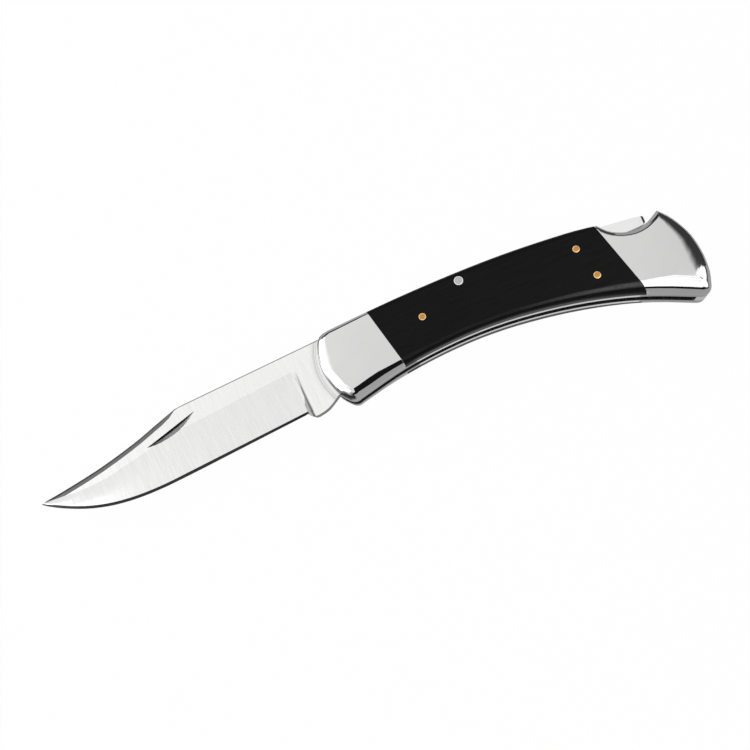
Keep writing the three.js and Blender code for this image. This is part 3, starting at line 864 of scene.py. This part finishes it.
def bolster_shade(mesh, face, place, normal):
    """Mirror polish all over, but for painted shade and a painted dark reflection at the foot of the nose
    beside the blade.
    """
    if normal.x > NOSE_FACING or place.x > 0:
        return 1
    tilt = tilt_of(normal)
    side = facing(-normal.y, tilt)
    start = blend(*NOSE_DARK_FROM, ease(*NOSE_SIDES, side))
    on_belly = ease(*NOSE_BELLY_SIDES, side) * ease(*NOSE_BELLY_TILTS, tilt)
    dark = ease(start, start + NOSE_DARK_SPAN, tilt) * (1 - on_belly)
    return blend(1, NOSE_WALL_SHADE, dark)


def bar_shade(mesh, face, place, normal):
    """Satin on the bar, with a painted dark reflection where its bare end rounds over."""
    if place.x < BAR_END_X:
        return 1
    tilt = tilt_of(normal)
    dark = ease(*BAR_END_TILTS, tilt) * ease(*BAR_END_FACINGS, facing(normal.x, tilt))
    return blend(1, BAR_END_SHADE, dark)


def painted_wood_highlight(mesh, face, place, normal):
    """Where the grey painted highlight lies: low on the belly's rounding, most at the butt end."""
    if normal.y > BELLY_FACING:
        return 0
    tilt = tilt_of(normal)
    band = ease(*HIGHLIGHT_STARTS, tilt) * (1 - ease(*HIGHLIGHT_ENDS, tilt))
    return band * blend(HIGHLIGHT_LEAST, 1, ease(*HIGHLIGHT_RUN, place.x))


def round_bar_end(piece):
    """Rounds the bare end of the lock bar over: cut across in steps, each then drawn in."""
    low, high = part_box("lock_bar")
    half = (high.z - low.z) / 2
    edit(piece)
    for cut in range(BAR_NOSE_CUTS):
        turn = math.radians(90 * cut / BAR_NOSE_CUTS)
        place = (BAR_NOSE_X + BAR_NOSE_RADIUS * math.sin(turn), 0, 0)
        bpy.ops.mesh.select_all(action="SELECT")
        bpy.ops.mesh.bisect(plane_co=place, plane_no=(1, 0, 0))
    done_editing()
    for x in sorted({vertex.co.x for vertex in piece.data.vertices if vertex.co.x > BAR_NOSE_X}):
        into = min(x - BAR_NOSE_X, BAR_NOSE_RADIUS)
        drop = BAR_NOSE_RADIUS - math.sqrt(BAR_NOSE_RADIUS**2 - into**2)
        share = max(half - drop, BAR_NOSE_LEAST) / half
        edit_chosen(piece, "vertices", lambda vertex: vertex.co.x == x)
        bpy.ops.transform.resize(value=(1, 1, share), center_override=(0, 0, MID_PLANE))
        done_editing()


def pin_head(node, name, slot):
    """A round pin dressed flush, with a slightly crowned end inside a rim that carries a painted
    highlight.
    """
    low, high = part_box(node)
    middle = (low + high) / 2
    radius = (high.x - low.x) / 2 - PIN_GAP
    length = high.z - low.z - 2 * (PIN_RIM_RISE + PIN_CROWN_RISE)
    deselect_all()
    bpy.ops.mesh.primitive_cylinder_add(vertices=PIN_SIDES, radius=radius, depth=length, location=middle)
    pin = bpy.context.object
    pin.name = name
    bpy.ops.object.transform_apply(location=True, rotation=True, scale=True)
    edit_chosen(pin, "faces", lambda face: abs(face.normal.z) > LEVEL)
    bpy.ops.mesh.inset(thickness=PIN_RIM, depth=PIN_RIM_RISE, use_individual=True)
    bpy.ops.mesh.inset(thickness=PIN_CROWN, depth=PIN_CROWN_RISE, use_individual=True)
    done_editing()
    activate(pin)
    bpy.ops.object.shade_smooth_by_angle(angle=SMOOTH_ANGLE)
    inner = radius - PIN_RIM

    def painted_rim_highlight(mesh, face, place, normal):
        away = Vector((face.center.x - middle.x, face.center.y - middle.y)).length
        return 1 if away > inner and tilt_of(face.normal) < WALL_TILT else 0

    paint_light_and_shade(pin, painted_rim_highlight)
    finish_piece(pin, "handle", slot, node)


deselect_all()
bpy.context.scene.view_settings.view_transform = "Standard"
make_camera()
make_world()
make_floor()
make_studio()
effects = {"grain": make_grain_effect(), "scratches": make_scratch_effect()}
looks = make_materials()

finished_copy(
    "blade",
    "blade_ground",
    "blade",
    "blade_steel",
    smooth=BLADE_SMOOTH_ANGLE,
    shape=trim_blade,
    shade=blade_shade,
)
finished_copy(
    "lock_bar", "lock_bar_satin", "lock_bar", "spring_steel", shape=round_bar_end, shade=bar_shade
)
for side in ("left", "right"):
    finished_copy(f"liner_{side}", f"liner_{side}_satin", "handle", "liner_steel")
    for end in ("front", "rear"):
        finished_copy(
            f"{end}_bolster_{side}",
            f"{end}_bolster_{side}_polished",
            "handle",
            "bolster_polish",
            broken=BROKEN_EDGE,
            shade=bolster_shade,
        )
    finished_copy(
        f"scale_{side}", f"scale_{side}_wood", "handle", "black_wood", broken=BROKEN_EDGE, shade=painted_wood_highlight
    )
    for position in ("front", "rear_upper", "rear_lower"):
        pin_head(f"scale_pin_{position}_{side}", f"brass_pin_{position}_{side}", "pin_brass")
pin_head("lock_bar_pin", "steel_pin", "pin_steel")
# The butt block takes the lock bar's painted dark reflection where its faces round over towards the butt
finished_copy(
    "butt_block", "butt_block_satin", "handle", "spring_steel", broken=BROKEN_EDGE, shade=bar_shade
)

# CAD nodes that stay as they are, inside the handle
inside_slots = {
    "blade_pivot_pin": "dark_steel",
    "pivot_bushing": "bushing_bronze",
    "butt_rivet_upper": "dark_steel",
    "butt_rivet_lower": "dark_steel",
    "lock_spring": "dark_steel",
}
for node, slot in inside_slots.items():
    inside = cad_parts[node]
    inside.data.materials.clear()
    inside.data.materials.append(looks[slot])
